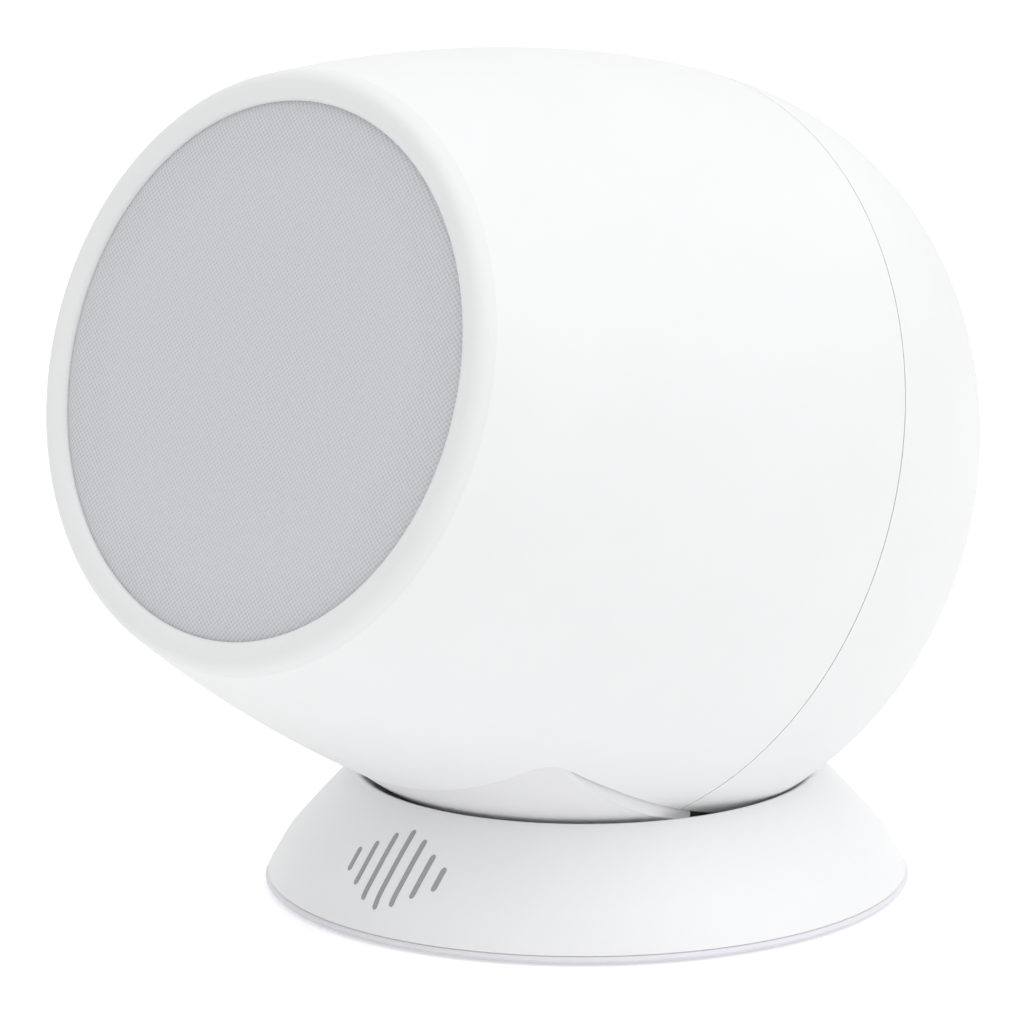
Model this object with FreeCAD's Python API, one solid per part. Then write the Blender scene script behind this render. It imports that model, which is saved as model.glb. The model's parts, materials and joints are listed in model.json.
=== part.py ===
"""Ball-shaped smart speaker: a tilting, turning speaker head on a round weighted base.

Millimetres. +Z is up, the object stands on z = 0 at the centre of its base, the front faces -Y.
Head parts are drawn in the head's own frame and then placed: origin at the tilt centre,
+X to the side, +Y up the back of the head, +Z forward along the axis of the grille.
"""
import FreeCAD
import Part
import math
import os

Vector = FreeCAD.Vector

# ---- driving dimensions -------------------------------------------------------------------
TILT_CENTRE_Z = 56.7        # height of the head's tilt axis above the table
REST_TILT = 18.15           # nose-up angle of the head as stored, degrees

BASE_R = 41.0               # widest radius of the base
BASE_RIM_R = 29.2           # radius of the rim of the dish that takes the head
BASE_PLATE_TOP = 1.8        # top of the bottom plate inside the shell
BASE_BAND_TOP = 1.12        # top of the bottom plate's visible band
BASE_SHELL_FOOT = 1.16      # lower edge of the base shell, a hair above the band
BASE_WALL = 2.0
DISH_R = 50.95              # sphere of the dish, about the tilt centre
DISH_FLOOR_Z = 6.9

HEAD_R = 49.3               # widest radius of the head
HEAD_WIDEST = -2.57         # station of the widest radius on the head's axis
FRONT_SWEEP, FRONT_POWER = 113.2, 1.62
BACK_LENGTH, BACK_POWER = 37.4, 2.59
HEAD_WALL = 1.9
SEAM = -3.63                # station of the seam between front and rear shell
SEAM_GAP = 0.16
SHELL_FRONT = 57.85         # station where the front shell ends behind the grille ring

GRILLE_R = 33.2             # visible radius of the cloth
RING_FRONT = 60.05
CLOTH_FRONT = 59.55
CLOTH_T = 0.5
FRAME_BACK = 57.1           # station of the back of the perforated frame
SHELF = 47.0                # station of the shelf the speaker box seats against

SLOT_HALF_WIDTH = 25.7      # slot in the underside of the head, for the swivel carrier
SLOT_FRONT = 21.8
SLOT_BACK = -33.6
SLOT_STEP = -22.0           # where the slot narrows towards the back
SLOT_TAIL_HALF = 19.6       # half width of the slot behind that

CARRIER_R, CARRIER_INNER_R = 50.35, 47.8
CARRIER_HALF_WIDTH = 25.35
CARRIER_SHOULDER_Y = -7.5   # the carrier's dome is narrower behind this
CARRIER_BOTTOM_Z = 7.8      # flat under the dome, running just above the bush
CARRIER_ANGLES = (-8.0, 60.0)   # reach behind and in front of straight down, degrees
SPINDLE_R = 6.0
SPINDLE_END_Z = 4.2
STRAP_R, STRAP_INNER_R = 46.1, 44.9
STRAP_HALF_WIDTH = 5.0
PIVOT_R = 2.5
RUNNING = 0.05              # radial clearance of a running fit

BOX_R, BOX_WALL = 29.6, 1.8     # speaker box
BOX_BACK = -8.0
BOARD_S, BOARD_T = -27.0, 1.2   # main board: front face station and thickness
PANEL_R = 19.85                 # flat rear panel
PANEL_OUT, PANEL_IN = -38.6, -37.2
SEAT_OUT, SEAT_IN = -36.2, -34.4
POST_CIRCLE = 15.0
POST_ANGLES = (90, 210, 330)
BUTTONS = {"volume_down": -9.5, "action": 0.0, "volume_up": 9.5}
BUTTON_Y = 6.0
BUTTON_TRAVEL = 0.5
INLET_Y = -8.5

NODES = {}


# ---- helpers ------------------------------------------------------------------------------
def cylinder(radius, low, high, x=0.0, y=0.0):
    return Part.makeCylinder(radius, high - low, Vector(x, y, low))


def tube(outer, inner, low, high, x=0.0, y=0.0):
    return cylinder(outer, low, high, x, y).cut(cylinder(inner, low - 1, high + 1, x, y))


def box(x0, x1, y0, y1, z0, z1):
    return Part.makeBox(x1 - x0, y1 - y0, z1 - z0, Vector(x0, y0, z0))


def x_cylinder(radius, x0, x1, y=0.0, z=0.0):
    return Part.makeCylinder(radius, x1 - x0, Vector(x0, y, z), Vector(1, 0, 0))


def sphere(radius, z=0.0):
    return Part.makeSphere(radius, Vector(0, 0, z))


def revolve(points):
    """Solid of revolution about Z from a closed outline of (radius, height) corners."""
    corners = [Vector(r, 0, z) for r, z in points]
    face = Part.Face(Part.makePolygon(corners + corners[:1]))
    return face.revolve(Vector(0, 0, 0), Vector(0, 0, 1), 360)


def revolve_curves(curves):
    """The same, where each item is a list of points: two make a line, more make a spline."""
    edges = []
    for points in curves:
        corners = [Vector(r, 0, z) for r, z in points]
        if len(corners) == 2:
            edges.append(Part.makeLine(*corners))
        else:
            spline = Part.BSplineCurve()
            spline.interpolate(corners)
            edges.append(spline.toShape())
    face = Part.Face(Part.Wire(edges))
    return face.revolve(Vector(0, 0, 0), Vector(0, 0, 1), 360)


def rounded_prism(half_x, half_y, corner, low, high, x=0.0, y=0.0):
    block = box(x - half_x, x + half_x, y - half_y, y + half_y, low, high)
    upright = [e for e in block.Edges if abs(e.Vertexes[0].Z - e.Vertexes[1].Z) > 0.5 * (high - low)]
    return block.makeFillet(corner, upright)


def fuse(shapes):
    return shapes[0].multiFuse(shapes[1:]).removeSplitter()


def around(radius, angles):
    return [(radius * math.cos(math.radians(a)), radius * math.sin(math.radians(a))) for a in angles]


def to_head(shape):
    """Move a shape from the head's frame to the object's frame, at the stored tilt."""
    turn = FreeCAD.Rotation(Vector(1, 0, 0), 90 - REST_TILT)
    placed = shape.copy()
    placed.Placement = FreeCAD.Placement(Vector(0, 0, TILT_CENTRE_Z), turn).multiply(placed.Placement)
    return placed


def node(name, shape):
    NODES[name] = shape


def head_node(name, shape):
    NODES[name] = to_head(shape)


def group(shapes):
    return shapes[0] if len(shapes) == 1 else Part.makeCompound(shapes)


def pan_screw(radius, length, head_r, head_h):
    """A screw along Z: its head sits above z = 0 and its shank goes down, with a cross recess."""
    shank = cylinder(radius, -length, 0)
    tip = Part.makeCone(radius * 0.3, radius, radius * 1.2, Vector(0, 0, -length - radius * 1.2))
    head = cylinder(head_r, 0, head_h)
    head = head.makeFillet(head_h * 0.45, [e for e in head.Edges if e.BoundBox.ZMin > head_h - 0.01])
    screw = fuse([shank, tip, head])
    for angle in (0, 90):
        blade = box(-head_r * 0.6, head_r * 0.6, -0.22, 0.22, head_h * 0.45, head_h + 1)
        blade.rotate(Vector(0, 0, 0), Vector(0, 0, 1), angle)
        screw = screw.cut(blade)
    return screw


def screws_at(screw, places, z, flip=False):
    """Copies of a screw with the seat of the head at height z; flip points the shank up."""
    made = []
    for x, y in places:
        one = screw.copy()
        if flip:
            one.rotate(Vector(0, 0, 0), Vector(1, 0, 0), 180)
        one.translate(Vector(x, y, z))
        made.append(one)
    return made


# ---- the head's outline -------------------------------------------------------------------
def head_radius(station):
    offset = station - HEAD_WIDEST
    reach, power = (FRONT_SWEEP, FRONT_POWER) if offset > 0 else (BACK_LENGTH, BACK_POWER)
    return HEAD_R * max(0.0, 1 - (abs(offset) / reach) ** power) ** (1 / power)


def head_outline(stations, inset=0.0):
    """(radius, station) points of the head's skin, moved inwards by the wall thickness."""
    points = []
    for s in stations:
        slope = (head_radius(s + 0.01) - head_radius(s - 0.01)) / 0.02
        scale = inset / math.hypot(1, slope)
        points.append((head_radius(s) - scale, s + scale * slope))
    return points


def spread(start, end, count):
    return [start + (end - start) * i / (count - 1) for i in range(count)]


def underside_slot():
    """Rounded slot through the underside, long enough for the whole tilt and narrower towards the back."""
    wide = box(-SLOT_HALF_WIDTH, SLOT_HALF_WIDTH, -60, -20, SLOT_STEP, SLOT_FRONT)
    tail = box(-SLOT_TAIL_HALF, SLOT_TAIL_HALF, -60, -20, SLOT_BACK, SLOT_STEP + 8)
    return [block.makeFillet(3.5, [e for e in block.Edges if e.BoundBox.YLength > 39])
            for block in (wide, tail)]


def dome_relief():
    """Room for the carrier's dome inside the front shell, just ahead of the slot."""
    return sphere(CARRIER_R + 0.3).common(box(-25.6, 25.6, -60, -30, 19.8, 27))


# ---- base ---------------------------------------------------------------------------------
def build_base_shell():
    shoulder = [(BASE_R - 0.35, BASE_SHELL_FOOT + 0.12), (BASE_R - 0.65, 2.0), (39.4, 3.6), (38.5, 5.2),
                (37.05, 7.0), (35.05, 9.3), (32.95, 11.6), (31.15, 13.5), (BASE_RIM_R + 1.0, 14.45),
                (BASE_RIM_R + 0.35, 14.95)]
    inner = [(BASE_R - 0.65 - BASE_WALL, 2.0), (37.45, 3.6), (36.6, 5.0), (35.2, 6.6), (33.3, 8.8),
             (31.3, 10.9), (30.4, 11.8)]
    rim_z = TILT_CENTRE_Z - math.sqrt(DISH_R ** 2 - BASE_RIM_R ** 2)
    floor_r = math.sqrt(DISH_R ** 2 - (TILT_CENTRE_Z - DISH_FLOOR_Z) ** 2)
    bulk = revolve_curves([
        shoulder,
        [shoulder[-1], (BASE_RIM_R - 0.3, rim_z + 0.02)],
        [(BASE_RIM_R - 0.3, rim_z + 0.02), (0, rim_z + 0.02)],
        [(0, rim_z + 0.02), (0, BASE_SHELL_FOOT)],
        [(0, BASE_SHELL_FOOT), (BASE_R - 0.5, BASE_SHELL_FOOT)],
        [(BASE_R - 0.5, BASE_SHELL_FOOT), shoulder[0]]])
    shell = bulk.cut(sphere(DISH_R, TILT_CENTRE_Z).common(cylinder(60, DISH_FLOOR_Z, 100)))
    hollow = revolve_curves([
        inner,
        [inner[-1], (0, inner[-1][1])],
        [(0, inner[-1][1]), (0, 0)],
        [(0, 0), (inner[0][0], 0)],
        [(inner[0][0], 0), inner[0]]])
    under_dish = sphere(DISH_R + BASE_WALL, TILT_CENTRE_Z).common(cylinder(60, 4.4, 60))
    under_dish = under_dish.fuse(cylinder(floor_r + 0.8, 5.0, 20))
    shell = shell.cut(hollow.cut(under_dish))
    screw_places = around(17.0, (30, 150, 270))
    screw_posts = [cylinder(2.6, 2.0, 9.0, x, y) for x, y in screw_places]
    stop_peg = cylinder(0.9, 3.0, 8.0, 11.8, 0)
    below = cylinder(60, 0, 60).cut(sphere(DISH_R + 0.6, TILT_CENTRE_Z))
    extras = [p.common(below) for p in screw_posts + [stop_peg]]
    shell = fuse([shell] + extras)
    for x, y in screw_places:
        shell = shell.cut(cylinder(1.0, 1.0, 7.4, x, y))
    return shell.cut(cylinder(7.5, 0, 12))


def build_base():
    node("base_shell", build_base_shell())
    screw_places = around(17.0, (30, 150, 270))
    foot_groove = tube(36.6, 27.4, -1, 0.9)
    plate = revolve([(0, 0.3), (BASE_R - 0.3, 0.3), (BASE_R, 0.6), (BASE_R - 0.12, 0.9),
                     (BASE_R - 0.3, BASE_BAND_TOP - 0.08), (BASE_R - 0.5, BASE_BAND_TOP),
                     (38.1, BASE_BAND_TOP), (38.1, BASE_PLATE_TOP), (37.4, BASE_PLATE_TOP), (37.4, 2.6),
                     (36.2, 2.6), (36.2, BASE_PLATE_TOP), (0, BASE_PLATE_TOP)])
    plate = plate.cut(foot_groove)
    for x, y in screw_places:
        plate = plate.cut(cylinder(1.35, -1, 4, x, y)).cut(cylinder(2.7, -1, 1.1, x, y))
    node("bottom_plate", plate)
    foot = tube(36.5, 27.5, 0.0, 0.9)
    foot = foot.makeChamfer(0.2, [e for e in foot.Edges if e.BoundBox.ZMax < 0.01])
    node("foot_ring", foot)
    node("base_screws", group(screws_at(pan_screw(1.0, 4.6, 2.3, 0.75), screw_places, 1.1, True)))
    ballast = revolve([(20.6, 2.0), (35.6, 2.0), (35.6, 4.7), (33.4, 7.2), (31.0, 9.2), (28.0, 9.6),
                       (20.6, 6.7)])
    node("ballast_ring", ballast)
    bush = tube(7.5, SPINDLE_R + RUNNING, 4.4, DISH_FLOOR_Z + 0.8).fuse(
        tube(9.4, SPINDLE_R + RUNNING, DISH_FLOOR_Z, DISH_FLOOR_Z + 0.8)).removeSplitter()
    node("swivel_bush", bush)


# ---- swivel -------------------------------------------------------------------------------
def strap_envelope(outer, inner, half_width):
    y_axis = Vector(0, 1, 0)
    start = Vector(0, -half_width, TILT_CENTRE_Z)
    ring = Part.makeCylinder(outer, 2 * half_width, start, y_axis)
    return ring.cut(Part.makeCylinder(inner, 2 * half_width, start, y_axis))


def build_carrier():
    back, front = [math.radians(a) for a in CARRIER_ANGLES]
    reach = 80.0
    wedge_corners = [Vector(-CARRIER_HALF_WIDTH, 0, TILT_CENTRE_Z)]
    for angle in (back, (back + front) / 2, front):
        wedge_corners.append(Vector(-CARRIER_HALF_WIDTH, -reach * math.sin(angle),
                                    TILT_CENTRE_Z - reach * math.cos(angle)))
    wedge = Part.Face(Part.makePolygon(wedge_corners + wedge_corners[:1]))
    wedge = wedge.extrude(Vector(2 * CARRIER_HALF_WIDTH, 0, 0))
    dome = sphere(CARRIER_R, TILT_CENTRE_Z).cut(sphere(CARRIER_INNER_R, TILT_CENTRE_Z)).common(wedge)
    dome = dome.common(cylinder(60, CARRIER_BOTTOM_Z, 60))
    tail_half = SLOT_TAIL_HALF - (SLOT_HALF_WIDTH - CARRIER_HALF_WIDTH)
    for side in (-1, 1):
        start = tail_half if side > 0 else -tail_half - 20
        dome = dome.cut(Part.makeBox(20, 40, 60, Vector(start, CARRIER_SHOULDER_Y, 0)))
    pad = sphere(CARRIER_INNER_R + 0.5, TILT_CENTRE_Z).cut(sphere(STRAP_R, TILT_CENTRE_Z))
    pad = pad.common(box(-18, 18, -7, 7, 0, 20))
    spindle = cylinder(SPINDLE_R, SPINDLE_END_Z, 10.5)
    collar = cylinder(9.0, CARRIER_BOTTOM_Z, 10.0)
    carrier = fuse([dome, pad, spindle, collar])
    carrier = carrier.cut(strap_envelope(STRAP_R, STRAP_INNER_R - 4, STRAP_HALF_WIDTH + 0.05))
    carrier = carrier.cut(cylinder(1.25, SPINDLE_END_Z - 1, 9.5))
    for x, y in ((-13, 0), (13, 0)):
        carrier = carrier.cut(cylinder(0.95, 9.4, 14, x, y))
    return carrier


def build_swivel():
    node("swivel_carrier", build_carrier())
    centre = TILT_CENTRE_Z
    strap = strap_envelope(STRAP_R, STRAP_INNER_R, STRAP_HALF_WIDTH).common(box(-60, 60, -20, 20, 0, centre))
    ears = strap_envelope(STRAP_R, STRAP_INNER_R, 7).common(x_cylinder(6.5, -60, 60, 0, centre))
    strap = fuse([strap, ears]).cut(x_cylinder(PIVOT_R, -60, 60, 0, centre))
    screw = pan_screw(0.9, 3.4, 1.9, 1.1)
    seat_z = centre - math.sqrt(STRAP_INNER_R ** 2 - 13 ** 2) + 0.45
    strap_screws = screws_at(screw, ((-13, 0), (13, 0)), seat_z)
    for placed in strap_screws:
        strap = strap.cut(placed)
    node("yoke_strap", strap)
    node("yoke_screws", group(strap_screws))
    pins = []
    for side in (-1, 1):
        pin = x_cylinder(PIVOT_R, 36.0, STRAP_R, 0, centre).fuse(x_cylinder(4.2, STRAP_R, 46.8, 0, centre))
        pin = pin.removeSplitter().cut(strap_envelope(STRAP_R, STRAP_INNER_R, 7).cut(
            x_cylinder(PIVOT_R, -60, 60, 0, centre)))
        pins.append(pin if side > 0 else pin.mirror(Vector(0, 0, 0), Vector(1, 0, 0)))
    node("pivot_pins", group(pins))
    node("friction_washer", tube(9.0, SPINDLE_R + 0.3, 4.2, 4.3))
    plate = cylinder(9.4, 3.4, SPINDLE_END_Z).fuse(box(-13.5, 0, -0.8, 0.8, 3.4, SPINDLE_END_Z))
    node("retaining_plate", plate.removeSplitter().cut(cylinder(1.5, 3, 5)))
    node("spindle_screw", group(screws_at(pan_screw(1.25, 4.6, 2.9, 0.95), ((0, 0),), 3.4, True)))


# ---- head shells and grille ---------------------------------------------------------------
def build_front_shell():
    start = SEAM + SEAM_GAP / 2
    outer = head_outline(spread(start, SHELL_FRONT, 10))
    inner = head_outline(spread(start, SHELF - 1.2, 8), HEAD_WALL)
    inner[0] = (inner[0][0], start)
    shelf_r = inner[-1][0]
    shell = revolve_curves([
        outer,
        [outer[-1], (36.0, SHELL_FRONT)],
        [(36.0, SHELL_FRONT), (36.0, SHELF)],
        [(36.0, SHELF), (shelf_r, SHELF)],
        [(shelf_r, SHELF), inner[-1]],
        inner[::-1],
        [inner[0], outer[0]]])
    tongue_in = inner[0][0]
    tongue = tube(tongue_in + 0.9, tongue_in, start - 3.0, start + 0.4)
    places = around(37.2, (45, 135, 225, 315))
    posts = [cylinder(2.6, SHELF, SHELF + 6.5, x, y) for x, y in places]
    skin = revolve_curves([head_outline(spread(start, SHELL_FRONT, 10), 0.8),
                           [head_outline([SHELL_FRONT], 0.8)[0], (0, SHELL_FRONT)],
                           [(0, SHELL_FRONT), (0, start)],
                           [(0, start), head_outline([start], 0.8)[0]]])
    posts = [p.common(skin).cut(cylinder(36.0, 40, 60)) for p in posts]
    shell = fuse([shell, tongue] + posts)
    for x, y in places:
        shell = shell.cut(cylinder(1.15, SHELF - 1, SHELF + 5.2, x, y))
    return shell.cut(underside_slot() + [dome_relief()])


def build_rear_shell():
    start = SEAM - SEAM_GAP / 2
    back = SEAT_OUT - 2.2
    rows = [start - t * (start - back) for t in (0, 0.15, 0.3, 0.45, 0.6, 0.72, 0.82, 0.9, 0.96, 1.0)]
    outer = head_outline(rows)
    inner_rows = [start - t * (start - SEAT_IN) for t in (0, 0.2, 0.4, 0.6, 0.75, 0.88, 0.96)]
    inner = head_outline(inner_rows, HEAD_WALL)
    inner[0] = (inner[0][0], start)
    shell = revolve_curves([
        outer,
        [outer[-1], (20.0, back)],
        [(20.0, back), (20.0, SEAT_OUT)],
        [(20.0, SEAT_OUT), (0, SEAT_OUT)],
        [(0, SEAT_OUT), (0, SEAT_IN)],
        [(0, SEAT_IN), (inner[-1][0], SEAT_IN)],
        [(inner[-1][0], SEAT_IN), inner[-1]],
        inner[::-1],
        [inner[0], outer[0]]])
    tongue_r = head_radius(SEAM) - HEAD_WALL + 1.0
    shell = shell.cut(tube(tongue_r + 0.02, 30, start - 3.1, start + 1))
    shell = shell.cut(underside_slot())
    for x, y in around(POST_CIRCLE, POST_ANGLES):
        shell = shell.cut(cylinder(1.3, -50, -30, x, y))
    for x in BUTTONS.values():
        shell = shell.cut(cylinder(4.5, -50, -30, x, BUTTON_Y))
    return shell.cut(rounded_prism(4.8, 2.0, 1.9, -50, -30, 0, INLET_Y))


def build_shells():
    head_node("front_shell", build_front_shell())
    head_node("rear_shell", build_rear_shell())
    panel = cylinder(PANEL_R, PANEL_OUT, PANEL_IN).fuse(tube(PANEL_R, 18.3, PANEL_OUT, SEAT_OUT))
    panel = panel.removeSplitter()
    panel = panel.makeFillet(0.35, [e for e in panel.Edges if e.BoundBox.ZMax < PANEL_OUT + 0.01])
    for x in BUTTONS.values():
        panel = panel.cut(cylinder(3.5, -50, -30, x, BUTTON_Y))
    panel = panel.cut(rounded_prism(4.8, 2.0, 1.9, -50, -30, 0, INLET_Y))
    head_node("rear_panel", panel)
    screw = pan_screw(1.2, 9.0, 2.3, 0.9)
    head_node("shell_screws", group(screws_at(screw, around(POST_CIRCLE, POST_ANGLES), SEAT_OUT, True)))


def build_grille():
    corner_r, corner_s, rounding = 35.17, 58.08, 2.0
    lip = [(GRILLE_R, 59.2), (33.35, 59.5), (33.75, 59.8), (34.35, 59.98), (35.17, RING_FRONT)]
    lip += [(corner_r + rounding * math.cos(math.radians(a)), corner_s + rounding * math.sin(math.radians(a)))
            for a in (75, 60, 45, 31, 20)]
    side = [lip[-1]] + head_outline([58.3, SHELL_FRONT])
    corners = [side[-1], (35.9, SHELL_FRONT), (35.9, 51.0), (34.8, 51.0), (34.8, 58.75),
               (GRILLE_R, 59.0), lip[0]]
    edges = [[start, end] for start, end in zip(corners, corners[1:])]
    head_node("grille_ring", revolve_curves([lip, side] + edges))

    # the cloth lies over the frame, dips at its edge and wraps round it
    under = [(30.5, CLOTH_FRONT - CLOTH_T), (31.5, 59.0), (32.4, 58.82), (33.2, 58.55), (34.1, 58.35),
             (34.4, 58.1), (34.4, FRAME_BACK)]
    over = [(30.5, CLOTH_FRONT), (31.6, 59.49), (32.5, 59.3), (33.15, 59.0), (34.2, 58.78), (34.7, 58.3),
            (34.7, FRAME_BACK)]
    frame = revolve([(0, FRAME_BACK), (0, CLOTH_FRONT - CLOTH_T)] + under)
    cloth = revolve([(0, CLOTH_FRONT - CLOTH_T), (0, CLOTH_FRONT)] + over + under[::-1])
    head_node("grille_cloth", cloth)
    holes = []
    for row in range(1, 10):
        count = 6 * row
        phase = 15 * (row % 2)
        holes += [(3.4 * row, 360.0 * i / count + phase) for i in range(count)]
    drills = [cylinder(1.1, 50, 60, r * math.cos(math.radians(a)), r * math.sin(math.radians(a)))
              for r, a in holes]
    head_node("grille_frame", frame.cut(Part.makeCompound(drills + [cylinder(1.1, 50, 60)])))


# ---- speaker box and driver ---------------------------------------------------------------
def build_speaker_box():
    inner = BOX_R - BOX_WALL
    body = revolve([(0, BOX_BACK), (BOX_R, BOX_BACK), (BOX_R, 44.6), (38.2, 44.6), (38.2, SHELF),
                    (27.4, SHELF), (27.4, 44.6), (inner, 44.0), (inner, BOX_BACK + 1.8),
                    (0, BOX_BACK + 1.8)])
    sides = [x_cylinder(6.0, -44.2, -BOX_R + 1), x_cylinder(6.0, BOX_R - 1, 44.2)]
    posts = [cylinder(3.0, SEAT_IN, BOX_BACK + 0.5, x, y) for x, y in around(POST_CIRCLE, POST_ANGLES)]
    body = fuse([body] + sides + posts)
    body = body.cut(x_cylinder(4.0, 34.0, 50)).cut(x_cylinder(4.0, -50, -34.0))
    for x, y in around(POST_CIRCLE, POST_ANGLES):
        body = body.cut(cylinder(1.2, SEAT_IN - 1, SEAT_IN + 12, x, y))
    for x, y in around(37.2, (45, 135, 225, 315)):
        body = body.cut(cylinder(1.35, 40, 50, x, y))
    for x, y in around(29.6, (0, 90, 180, 270)):
        body = body.cut(cylinder(0.95, 42.9, 50, x, y))
    return body.cut(box(-4.5, 4.5, 35.0, 40, 40, 50)).cut(cylinder(2.2, -20, 0, 0, -18))


def build_driver():
    head_node("speaker_box", build_speaker_box())
    head_node("box_screws", group([s for s in screws_at(
        pan_screw(1.15, 5.5, 2.2, 1.3), around(37.2, (45, 135, 225, 315)), 44.6, True)]))
    bushes, washers = [], []
    for side in (-1, 1):
        bush = x_cylinder(4.0, 34.0, 44.2).fuse(x_cylinder(5.4, 44.2, 44.5)).removeSplitter()
        bush = bush.cut(x_cylinder(PIVOT_R + RUNNING, 33, 46))
        washer = x_cylinder(5.0, 44.5, 44.6).cut(x_cylinder(PIVOT_R + RUNNING, 33, 46))
        for made, piece in ((bushes, bush), (washers, washer)):
            made.append(piece if side > 0 else piece.mirror(Vector(0, 0, 0), Vector(1, 0, 0)))
    head_node("pivot_bushes", group(bushes))
    head_node("pivot_washers", group(washers))

    mounting = around(29.6, (0, 90, 180, 270))
    gasket = tube(32.0, 27.5, SHELF, SHELF + 0.5)
    basket = revolve([(27.3, 47.5), (32.0, 47.5), (32.0, 48.7), (26.6, 48.7), (25.6, 40.0), (22.9, 33.6),
                      (20.0, 33.6), (19.4, 29.4), (11.4, 29.4), (11.4, 28.2), (20.2, 28.2), (21.4, 32.4),
                      (24.2, 32.8), (27.0, 39.6)])
    for x, y in mounting:
        gasket = gasket.cut(cylinder(1.3, 40, 60, x, y))
        basket = basket.cut(cylinder(1.3, 40, 60, x, y))
    window = box(-6.5, 6.5, 10, 40, 34.6, 44.5)
    for angle in (45, 135, 225, 315):
        cutter = window.copy()
        cutter.rotate(Vector(0, 0, 0), Vector(0, 0, 1), angle)
        basket = basket.cut(cutter)
    head_node("driver_gasket", gasket)
    head_node("driver_basket", basket)
    head_node("driver_screws", group(screws_at(pan_screw(0.95, 4.2, 1.9, 1.0), mounting, 48.7)))

    roll = revolve_curves([
        [(24.2, 47.9), (25.0, 47.9)],
        [(25.0, 47.9), (25.7, 49.5), (27.1, 50.3), (28.5, 49.9), (29.1, 49.1)],
        [(29.1, 49.1), (31.9, 49.1)],
        [(31.9, 49.1), (31.9, 48.7)],
        [(31.9, 48.7), (28.8, 48.7)],
        [(28.8, 48.7), (28.2, 49.6), (27.1, 49.9), (26.0, 49.2), (25.4, 47.5)],
        [(25.4, 47.5), (24.2, 47.5)],
        [(24.2, 47.5), (24.2, 47.9)]])
    for x, y in mounting:
        roll = roll.cut(cylinder(2.0, 40, 60, x, y))
    head_node("driver_surround", roll)
    waves = [(r, 34.0 + 0.45 * math.sin((r - 10.6) * 2.2)) for r in spread(10.6, 20.6, 21)]
    spider = revolve_curves([
        waves,
        [waves[-1], (22.6, 33.9)],
        [(22.6, 33.9), (22.6, 33.6)],
        [(22.6, 33.6), (20.6, waves[-1][1] - 0.3)],
        [(r, z - 0.3) for r, z in waves[::-1]],
        [(waves[0][0], waves[0][1] - 0.3), waves[0]]])
    head_node("driver_spider", spider)
    head_node("top_plate", tube(18.6, 11.0, 24.6, 28.2))
    head_node("magnet", tube(20.0, 12.0, 15.6, 24.6))
    back_plate = revolve([(0, 12.0), (18.6, 12.0), (18.6, 15.6), (9.0, 15.6), (9.0, 28.2), (0, 28.2)])
    head_node("pole_piece", back_plate)
    terminals = [box(x - 1.4, x + 1.4, -27.4, -26.75, 33.4, 38.9) for x in (-3.2, 3.2)]
    head_node("driver_terminals", group(terminals))


def build_cone():
    cone = revolve([(24.3, 47.1), (25.1, 47.1), (25.1, 47.5), (24.2, 47.5), (23.9, 47.4), (10.5, 36.9),
                    (9.95, 36.9), (9.95, 36.4), (10.7, 36.4)])
    head_node("cone", cone)
    cap = sphere(13.0, 29.6).cut(sphere(12.6, 29.6)).common(cylinder(10.4, 36.95, 50))
    head_node("dust_cap", cap)
    former = tube(9.9, 9.6, 21.6, 36.9)
    winding = tube(10.4, 9.9, 21.8, 29.4)
    head_node("voice_coil", former.fuse(winding))


# ---- electronics --------------------------------------------------------------------------
def build_board():
    rear = BOARD_S - BOARD_T
    board = cylinder(31.0, rear, BOARD_S)
    for x, y in around(POST_CIRCLE, POST_ANGLES):
        board = board.cut(cylinder(3.3, -50, 0, x, y))
    head_node("main_board", board)
    head_node("shield_can", rounded_prism(9.0, 7.0, 0.8, BOARD_S, BOARD_S + 2.2, 0, 1.0))
    module = rounded_prism(8.0, 5.0, 0.4, BOARD_S, BOARD_S + 0.8, 11.0, 22.0)
    can = rounded_prism(5.2, 4.2, 0.5, BOARD_S + 0.8, BOARD_S + 2.6, 8.8, 22.0)
    head_node("wifi_module", fuse([module, can]))
    cans = [cylinder(4.0, BOARD_S, BOARD_S + 11.0, x, -2.0) for x in (-20.0, 20.0)]
    cans = [c.makeFillet(0.6, [e for e in c.Edges if e.BoundBox.ZMin > BOARD_S + 10]) for c in cans]
    head_node("capacitors", group(cans))
    coil = rounded_prism(4.0, 4.0, 1.0, BOARD_S, BOARD_S + 4.0, -18.0, 12.0)
    head_node("power_inductor", coil)
    header = box(-5.0, 5.0, -25.5, -20.5, BOARD_S, BOARD_S + 5.0)
    header = header.cut(box(-4.2, 4.2, -24.7, -21.3, BOARD_S + 1.2, BOARD_S + 6))
    head_node("speaker_connector", header)
    leads = []
    for x in (-3.2, 3.2):
        path = [Vector(x / 3, -23.0, BOARD_S + 1.5), Vector(x / 3, -22.5, BOARD_S + 9),
                Vector(x / 3, -18.0, BOX_BACK - 3), Vector(x / 3, -18.0, BOX_BACK + 3),
                Vector(x, -24.4, 8), Vector(x, -24.6, 24), Vector(x, -26.8, 33.3)]
        curve = Part.BSplineCurve()
        curve.interpolate(path)
        spine = Part.Wire(curve.toShape())
        ring = Part.Wire(Part.makeCircle(0.55, path[0], curve.tangent(0)[0]))
        leads.append(spine.makePipeShell([ring], True, True))
    head_node("speaker_leads", group(leads))


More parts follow.
